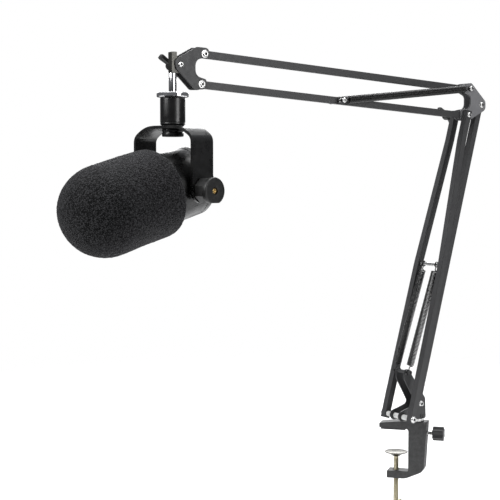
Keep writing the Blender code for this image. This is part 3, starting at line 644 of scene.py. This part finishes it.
def make_hanger():
    upright = Matrix.Translation((STEM.x, STEM.y, 0))
    low, high = (p[2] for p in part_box("stem"))
    turned("stem_rod", "stem", [(0, high), (3.9 * MM, high), (3.9 * MM, low), (0, low)], upright)
    refined("flange_nut", 0.35 * MM)
    low, high = (p[2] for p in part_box("collar"))
    turned("collar_sleeve", "collar", [
        (0, high), (11.8 * MM, high), (COLLAR_RADIUS, high - 0.8 * MM), (COLLAR_RADIUS, low + 3 * MM),
        (12.1 * MM, low + 2.7 * MM), (12.1 * MM, low + 2.3 * MM), (COLLAR_RADIUS, low + 2 * MM),
        (COLLAR_RADIUS, low + 1.2 * MM), (11.4 * MM, low), (0, low)], upright, segments=64)
    low, high = (p[2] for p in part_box("yoke_nut"))
    neck = high - 3.35 * MM
    turned("yoke_nut_ring", "yoke_nut", [
        (0, high), (4 * MM, high), (4 * MM, neck), (10.2 * MM, neck), (RING_RADIUS, neck - 0.5 * MM),
        (RING_RADIUS, neck - 2.2 * MM), (10 * MM, neck - 2.7 * MM), (10 * MM, neck - 3.3 * MM),
        (RING_RADIUS, neck - 3.8 * MM), (RING_RADIUS, low + 0.6 * MM), (10 * MM, low), (0, low)],
        upright, segments=56)
    refined("yoke", 0.7 * MM)
    for side, sign in (("near", -1), ("far", 1)):
        make_pivot(side, sign)


def make_pivot(side, sign):
    """Faceted barrel with a flat-footed round cap and a brass screw in its middle."""
    out = MIC_Y * sign
    along = basis(UP.cross(out), UP, out, PIVOT)
    reach = sorted(abs((Vector(v.co) - PIVOT).dot(MIC_Y))
                   for v in frame["nodes"]["pivot_knob_" + side].data.vertices)
    inner, face = reach[0], reach[-1]
    cap = face - 5.2 * MM
    bm = spin(bmesh.new(), fillet([(KNOB_BORE, inner), (12.4 * MM, inner), (13.4 * MM, inner + 1 * MM),
                                   (12.9 * MM, cap), (KNOB_BORE, cap)], 0.5 * MM, closed=True),
              8, closed=True, phase=math.radians(22.5))
    disc = fillet([(KNOB_BORE, cap - 0.3 * MM), (13.2 * MM, cap - 0.3 * MM), (13.2 * MM, face - 0.9 * MM),
                   (12.4 * MM, face), (3.4 * MM, face), (KNOB_BORE, face - 2.4 * MM)], 0.4 * MM, closed=True)
    spin(bm, disc, 56, closed=True)
    flat = -11.6 * MM
    for vert in bm.verts:
        vert.co.y = max(vert.co.y, flat)
    piece(f"pivot_knob_{side}_cap", bm, BODY_OF["pivot_knob_" + side], ["pivot_knob_" + side],
          "pivot_black", matrix=along, angle=28)
    top = face - 0.8 * MM
    bm = spin(bmesh.new(), fillet([
        (0, top - 0.9 * MM), (1.2 * MM, top - 0.9 * MM), (1.3 * MM, top - 0.1 * MM), (2.2 * MM, top),
        (2.9 * MM, top - 0.6 * MM), (2.9 * MM, 31.2 * MM), (0, 31.2 * MM)], 0.25 * MM), 32)
    piece(f"pivot_screw_{side}_head", bm, BODY_OF["pivot_screw_" + side], ["pivot_screw_" + side],
          "pivot_brass", matrix=along)
    node = "pivot_spacer_" + side
    turned(node + "_ring", node, [
        (KNOB_BORE, 39.2 * MM), (9 * MM, 39.2 * MM), (9 * MM, 35.4 * MM), (KNOB_BORE, 35.4 * MM)],
        along, radius=0.6 * MM, closed=True)


# ============================ microphone ======================================================
AXIS_RISE = 4.2 * MM
NOSE_FRAME = basis(MIC_Y.cross(NOSE), MIC_Y, NOSE, PIVOT + UP * AXIS_RISE)
BODY_RADIUS = 35 * MM
BODY_REAR = -26 * MM
BODY_FRONT = 20 * MM
FOAM_RADIUS = 44.3 * MM
FOAM_REAR = 20.5 * MM
FOAM_FRONT = 134.7 * MM
FOAM_CAVITY = 35.6 * MM
FOAM_EDGE = 8.5 * MM
FOAM_AROUND = 300
FOAM_STEP = 0.95 * MM
FOAM_RELIEF = 0.42 * MM


def make_body():
    rear, bore, lip = BODY_REAR, BODY_RADIUS - 2 * MM, BODY_REAR + 3 * MM
    bm = spin(bmesh.new(), fillet([
        (bore, BODY_FRONT), (BODY_RADIUS, BODY_FRONT), (BODY_RADIUS, rear + 11 * MM),
        (BODY_RADIUS - 0.5 * MM, rear + 10.6 * MM), (BODY_RADIUS - 0.5 * MM, rear + 10 * MM),
        (BODY_RADIUS, rear + 9.6 * MM), (BODY_RADIUS, rear + 4 * MM),
        (BODY_RADIUS - 1.2 * MM, rear + 1.2 * MM), (BODY_RADIUS - 4 * MM, rear),
        (26 * MM, rear), (26 * MM, lip), (bore, lip)], 0.5 * MM, closed=True), 96, closed=True)
    piece("body_barrel", bm, "mic", ["body_shell"], "mic_satin", matrix=NOSE_FRAME, angle=35)
    bm = spin(bmesh.new(), fillet([
        (9.6 * MM, lip), (25.6 * MM, lip), (25.6 * MM, rear + 0.8 * MM), (23.4 * MM, rear + 0.8 * MM),
        (22.9 * MM, rear + 1.4 * MM), (12.4 * MM, rear + 1.4 * MM), (11.8 * MM, rear + 0.8 * MM),
        (9.6 * MM, rear + 0.8 * MM)], 0.3 * MM, closed=True), 72, closed=True)
    piece("rear_cap_turned", bm, "mic", ["rear_cap"], "mic_satin", matrix=NOSE_FRAME, angle=35)
    floor = rear + 12 * MM
    bm = spin(bmesh.new(), fillet([
        (0, floor + 3 * MM), (9.2 * MM, floor + 3 * MM), (9.2 * MM, rear + 0.5 * MM),
        (8.2 * MM, rear + 0.5 * MM), (8.2 * MM, floor), (0, floor)], 0.25 * MM), 48)
    for k in range(3):
        a = math.radians(90 + 120 * k)
        pin = [(0, floor + 0.5 * MM), (1.1 * MM, floor + 0.5 * MM), (1.1 * MM, floor - 4 * MM),
               (0.6 * MM, floor - 4.5 * MM), (0, floor - 4.5 * MM)]
        before = set(bm.verts)
        spin(bm, fillet(pin, 0.2 * MM), 16)
        bmesh.ops.translate(bm, verts=[v for v in bm.verts if v not in before],
                            vec=(4.2 * MM * math.cos(a), 4.2 * MM * math.sin(a), 0))
    piece("xlr_insert_pins", bm, "mic", ["xlr_insert"], "connector_metal", matrix=NOSE_FRAME, angle=35)


def foam_profile():
    """Outer line of the windscreen, from the nose to the rear lip, at even steps."""
    nose = FOAM_FRONT - FOAM_RADIUS
    line = [Vector((FOAM_RADIUS * math.sin(a), nose + FOAM_RADIUS * math.cos(a)))
            for a in (math.radians(3 * k) for k in range(1, 31))]
    line += [Vector((FOAM_RADIUS, z * MM)) for z in range(88, 30, -2)]
    centre = Vector((FOAM_RADIUS - FOAM_EDGE, FOAM_REAR + FOAM_EDGE))
    line += [centre + FOAM_EDGE * Vector((math.cos(a), -math.sin(a)))
             for a in (math.radians(10 * k) for k in range(1, 10))]
    even = [line[0]]
    for target in line[1:]:
        while (target - even[-1]).length > FOAM_STEP:
            even.append(even[-1] + (target - even[-1]).normalized() * FOAM_STEP)
    return even


def foam_bump(point):
    """Cell-sized unevenness of the cut foam, mostly pits."""
    cells = noise.noise(point * 520) + 0.6 * noise.noise(point * 1150)
    swell = noise.noise(point * 28)
    return FOAM_RELIEF * (0.75 * cells - 0.35) + 0.5 * MM * swell


def make_foam():
    line = foam_profile()
    bm = bmesh.new()
    tip = bm.verts.new((0, 0, FOAM_FRONT))
    rings = []
    for i, (radius, height) in enumerate(line):
        before = line[max(i - 1, 0)]
        after = line[min(i + 1, len(line) - 1)]
        slope = (after - before).normalized()
        outward = Vector((-slope.y, slope.x))
        ring = []
        for k in range(FOAM_AROUND):
            a = 2 * math.pi * k / FOAM_AROUND
            c, s = math.cos(a), math.sin(a)
            at = Vector((radius * c, radius * s, height))
            push = foam_bump(at)
            ring.append(bm.verts.new((at.x + outward.x * push * c, at.y + outward.x * push * s,
                                      height + outward.y * push)))
        rings.append(ring)
    inner_depth = FOAM_FRONT - 31 * MM
    for radius, height in ((FOAM_CAVITY, FOAM_REAR), (FOAM_CAVITY, FOAM_REAR + 12 * MM),
                           (FOAM_CAVITY, inner_depth - 18 * MM), (FOAM_CAVITY * 0.6, inner_depth)):
        rings.append([bm.verts.new((radius * math.cos(a), radius * math.sin(a), height))
                      for a in (2 * math.pi * k / FOAM_AROUND for k in range(FOAM_AROUND))])
    for k in range(FOAM_AROUND):
        j = (k + 1) % FOAM_AROUND
        bm.faces.new((tip, rings[0][k], rings[0][j]))
        for a, b in zip(rings, rings[1:]):
            bm.faces.new((a[k], b[k], b[j], a[j]))
    bm.faces.new(rings[-1])
    obj = piece("windscreen_foam", bm, "mic", ["foam_windscreen"], "foam_black",
                matrix=NOSE_FRAME, angle=180)


# ============================ stage ===========================================================
CAMERA_AT = Vector((0.27623, -1.41044, 0.28801))
CAMERA_AZIMUTH = math.radians(17.76)
CAMERA_DOWN = math.radians(3.36)
CAMERA_LENS = 90.88
FLOOR_RADIUS = 3.2
FADE_START, FADE_END = 0.35, 1.3


def make_camera():
    data = bpy.data.cameras.new("camera")
    data.lens = CAMERA_LENS
    data.sensor_width = 36
    data.clip_start, data.clip_end = 0.01, 50
    obj = bpy.data.objects.new("camera", data)
    bpy.context.scene.collection.objects.link(obj)
    obj.location = CAMERA_AT
    obj.rotation_euler = (math.radians(90) - CAMERA_DOWN, 0, CAMERA_AZIMUTH)
    bpy.context.scene.camera = obj


def make_floor():
    """Pale floor that fades into the backdrop with distance from its middle."""
    bm = bmesh.new()
    bmesh.ops.create_circle(bm, cap_ends=True, segments=96, radius=FLOOR_RADIUS)
    mesh = bpy.data.meshes.new("floor")
    bm.to_mesh(mesh)
    bm.free()
    floor = bpy.data.objects.new("floor", mesh)
    bpy.context.scene.collection.objects.link(floor)
    floor.location = (0, 0, CAD_BOX[0][2] - 0.5 * MM)
    made = Finish("pale floor", (0.90, 0.90, 0.90), 0.6)
    reach = made.node("ShaderNodeVectorMath", operation="LENGTH")
    made.link(made.coords, reach.inputs[0])
    fade = made.node("ShaderNodeMapRange", interpolation_type="SMOOTHSTEP")
    for key, value in (("From Min", FADE_START), ("From Max", FADE_END), ("To Min", 1.0), ("To Max", 0.0)):
        fade.inputs[key].default_value = value
    made.link(reach.outputs["Value"], fade.inputs["Value"])
    made.link(fade.outputs["Result"], made.shader.inputs["Alpha"])
    mesh.materials.append(made.made)


def make_world():
    """White to the camera, a dimmer studio to everything the object reflects."""
    world = bpy.data.worlds.new("studio")
    bpy.context.scene.world = world
    world.use_nodes = True
    tree = world.node_tree
    tree.nodes.clear()
    out = tree.nodes.new("ShaderNodeOutputWorld")
    seen = tree.nodes.new("ShaderNodeBackground")
    seen.inputs["Color"].default_value = (1, 1, 1, 1)
    cast = tree.nodes.new("ShaderNodeBackground")
    cast.inputs["Color"].default_value = (0.93, 0.95, 1.0, 1)
    split = tree.nodes.new("ShaderNodeSeparateXYZ")
    sky = tree.nodes.new("ShaderNodeMapRange")
    for key, value in (("From Min", -0.1), ("From Max", 0.8), ("To Min", 0.05), ("To Max", 0.5)):
        sky.inputs[key].default_value = value
    tree.links.new(tree.nodes.new("ShaderNodeTexCoord").outputs["Generated"], split.inputs[0])
    tree.links.new(split.outputs["Z"], sky.inputs["Value"])
    tree.links.new(sky.outputs["Result"], cast.inputs["Strength"])
    mix = tree.nodes.new("ShaderNodeMixShader")
    path = tree.nodes.new("ShaderNodeLightPath")
    tree.links.new(path.outputs["Is Camera Ray"], mix.inputs["Fac"])
    tree.links.new(cast.outputs[0], mix.inputs[1])
    tree.links.new(seen.outputs[0], mix.inputs[2])
    tree.links.new(mix.outputs[0], out.inputs["Surface"])


def area_light(name, at, toward, size, power):
    data = bpy.data.lights.new(name, "AREA")
    data.shape = "RECTANGLE"
    data.size, data.size_y = size
    data.energy = power
    obj = bpy.data.objects.new(name, data)
    bpy.context.scene.collection.objects.link(obj)
    obj.location = at
    obj.rotation_euler = (Vector(toward) - Vector(at)).to_track_quat("-Z", "Y").to_euler()


def make_lights():
    middle = (-0.05, -0.05, 0.25)
    area_light("key", (-1.2, -1.3, 1.2), middle, (0.9, 1.2), 34)
    area_light("fill", (1.5, -0.9, 0.5), middle, (0.7, 1.2), 16)
    area_light("top", (-0.1, 0.1, 1.7), middle, (1.4, 1.0), 22)
    area_light("rim", (-0.5, 1.5, 0.9), middle, (1.2, 0.8), 20)


make_camera()
make_floor()
make_world()
make_lights()
bpy.context.scene.view_settings.view_transform = "Standard"
make_clamp()
make_arm()
make_axle_washers()
make_springs()
make_fasteners()
make_hanger()
make_body()
make_foam()

bpy.context.view_layer.update()
